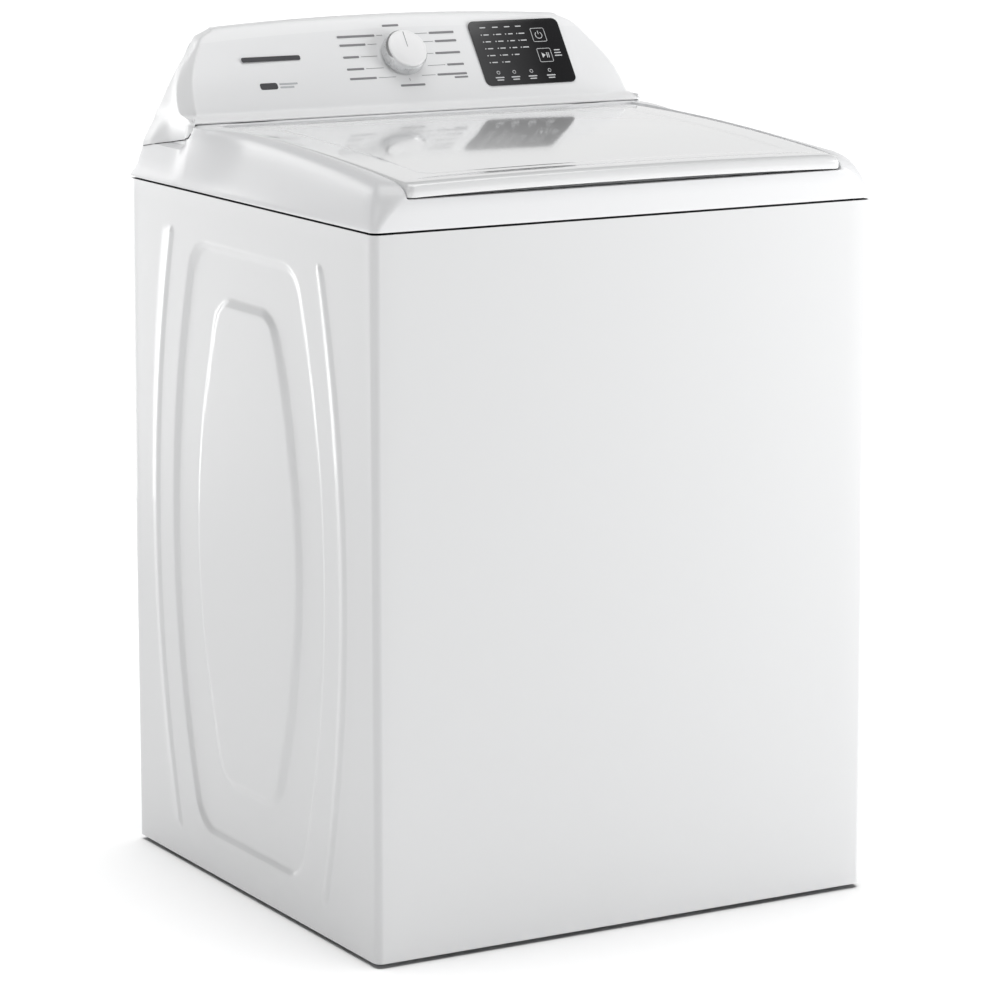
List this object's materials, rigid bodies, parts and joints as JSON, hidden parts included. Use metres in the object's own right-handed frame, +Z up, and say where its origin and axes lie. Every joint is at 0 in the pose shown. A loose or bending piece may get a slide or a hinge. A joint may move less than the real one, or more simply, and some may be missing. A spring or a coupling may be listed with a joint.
{
  "type": "top load washing machine",
  "caption": "Top load washing machine with hinged lid, slanted console with selector knob and touch panel, spinning basket, lift-out agitator, suspended tub and levelling feet.",
  "frame": {"origin": "on the floor, under the centre of the overall box", "axes": "+Z up, +X to the machine's right as seen from the front, +Y towards the back; the front faces -Y"},
  "size_m": [0.698, 0.708, 1.08],
  "materials": {
    "enamel": "gloss",
    "lid_enamel": "high gloss",
    "white_plastic": "gloss",
    "console_plastic": "satin gloss",
    "knob_plastic": "satin",
    "inner_plastic": "satin",
    "tub_plastic": "matte",
    "galvanised": "satin",
    "stainless": "brushed",
    "cast_alloy": "cast",
    "steel": "satin",
    "gray_plastic": "satin",
    "black_plastic": "matte",
    "rubber": "matte",
    "display": "gloss",
    "circuit_board": "satin"
  },
  "bodies": {
    "cabinet": {"cabinet_wrap": "enamel", "rear_panel": "galvanised", "base_frame": "galvanised", "corner_brace_front_left": "galvanised", "suspension_rod_front_left": "steel", "suspension_spring_front_left": "steel", "corner_brace_front_right": "galvanised", "suspension_rod_front_right": "steel", "suspension_spring_front_right": "steel", "corner_brace_rear_left": "galvanised", "suspension_rod_rear_left": "steel", "suspension_spring_rear_left": "steel", "corner_brace_rear_right": "galvanised", "suspension_rod_rear_right": "steel", "suspension_spring_rear_right": "steel", "top_panel": "white_plastic", "bleach_dispenser": "inner_plastic", "lid_lock": "black_plastic", "lid_hinge_pin_left": "steel", "lid_hinge_pin_right": "steel", "console_fascia": "console_plastic", "console_rear_cover": "galvanised", "display_overlay": "display", "control_board": "circuit_board", "selector_encoder": "black_plastic", "inlet_valve": "inner_plastic", "inlet_spout": "inner_plastic", "drain_outlet": "black_plastic", "cord_gland": "rubber", "pressure_sensor": "black_plastic"},
    "lid": {"lid_outer": "lid_enamel", "lid_inner": "inner_plastic", "lid_strike": "gray_plastic", "lid_bumper_left": "rubber", "lid_bumper_right": "rubber"},
    "knob": {"selector_knob": "knob_plastic"},
    "tub": {"outer_tub": "tub_plastic", "tub_ring": "tub_plastic", "tub_seal": "rubber", "gearcase": "cast_alloy", "motor": "steel", "drive_belt": "rubber", "shift_actuator": "black_plastic", "drain_pump": "black_plastic"},
    "motor_rotor": {"motor_pulley": "cast_alloy"},
    "drive": {"drive_shaft": "steel", "drive_pulley": "cast_alloy", "wash_plate": "gray_plastic"},
    "spin_basket": {"basket": "stainless", "balance_ring": "gray_plastic", "basket_hub": "cast_alloy"},
    "agitator": {"agitator_post": "gray_plastic", "agitator_cap": "gray_plastic"},
    "foot_front_left": {"levelling_foot_front_left": "black_plastic"},
    "foot_front_right": {"levelling_foot_front_right": "black_plastic"},
    "foot_rear_left": {"levelling_foot_rear_left": "black_plastic"},
    "foot_rear_right": {"levelling_foot_rear_right": "black_plastic"}
  },
  "joints": [
    {"name": "lid_hinge", "type": "hinge", "parent": "cabinet", "child": "lid", "pos_m": [0, 0.1285, 0.9545], "axis": [-1, 0, 0], "range_deg": [0, 100]},
    {"name": "selector_turn", "type": "hinge", "parent": "cabinet", "child": "knob", "pos_m": [0, 0.21618, 1.0296], "axis": [0, -0.8182, 0.575], "continuous": true},
    {"name": "tub_bounce", "type": "slide", "parent": "cabinet", "child": "tub", "axis": [0, 0, 1], "range_m": [-0.025, 0], "stiffness_N_per_m": 16000, "springref_m": 0.04, "deforming": ["suspension_spring_front_left", "suspension_spring_front_right", "suspension_spring_rear_left", "suspension_spring_rear_right"]},
    {"name": "motor_spin", "type": "hinge", "parent": "tub", "child": "motor_rotor", "pos_m": [0, 0.15, 0.084], "axis": [0, 0, 1], "continuous": true},
    {"name": "drive_spin", "type": "hinge", "parent": "tub", "child": "drive", "pos_m": [0, -0.022, 0.084], "axis": [0, 0, 1], "continuous": true},
    {"name": "basket_spin", "type": "hinge", "parent": "tub", "child": "spin_basket", "pos_m": [0, -0.022, 0.25], "axis": [0, 0, 1], "continuous": true},
    {"name": "agitator_lift", "type": "slide", "parent": "drive", "child": "agitator", "axis": [0, 0, 1], "range_m": [0, 0.11]},
    {"name": "foot_front_left_screw", "type": "slide", "parent": "cabinet", "child": "foot_front_left", "axis": [0, 0, -1], "range_m": [0, 0.02]},
    {"name": "foot_front_right_screw", "type": "slide", "parent": "cabinet", "child": "foot_front_right", "axis": [0, 0, -1], "range_m": [0, 0.02]},
    {"name": "foot_rear_left_screw", "type": "slide", "parent": "cabinet", "child": "foot_rear_left", "axis": [0, 0, -1], "range_m": [0, 0.02]},
    {"name": "foot_rear_right_screw", "type": "slide", "parent": "cabinet", "child": "foot_rear_right", "axis": [0, 0, -1], "range_m": [0, 0.02]}
  ],
  "couplings": [
    {"joint": "motor_spin", "follows": "drive_spin", "ratio": 3.6667}
  ]
}
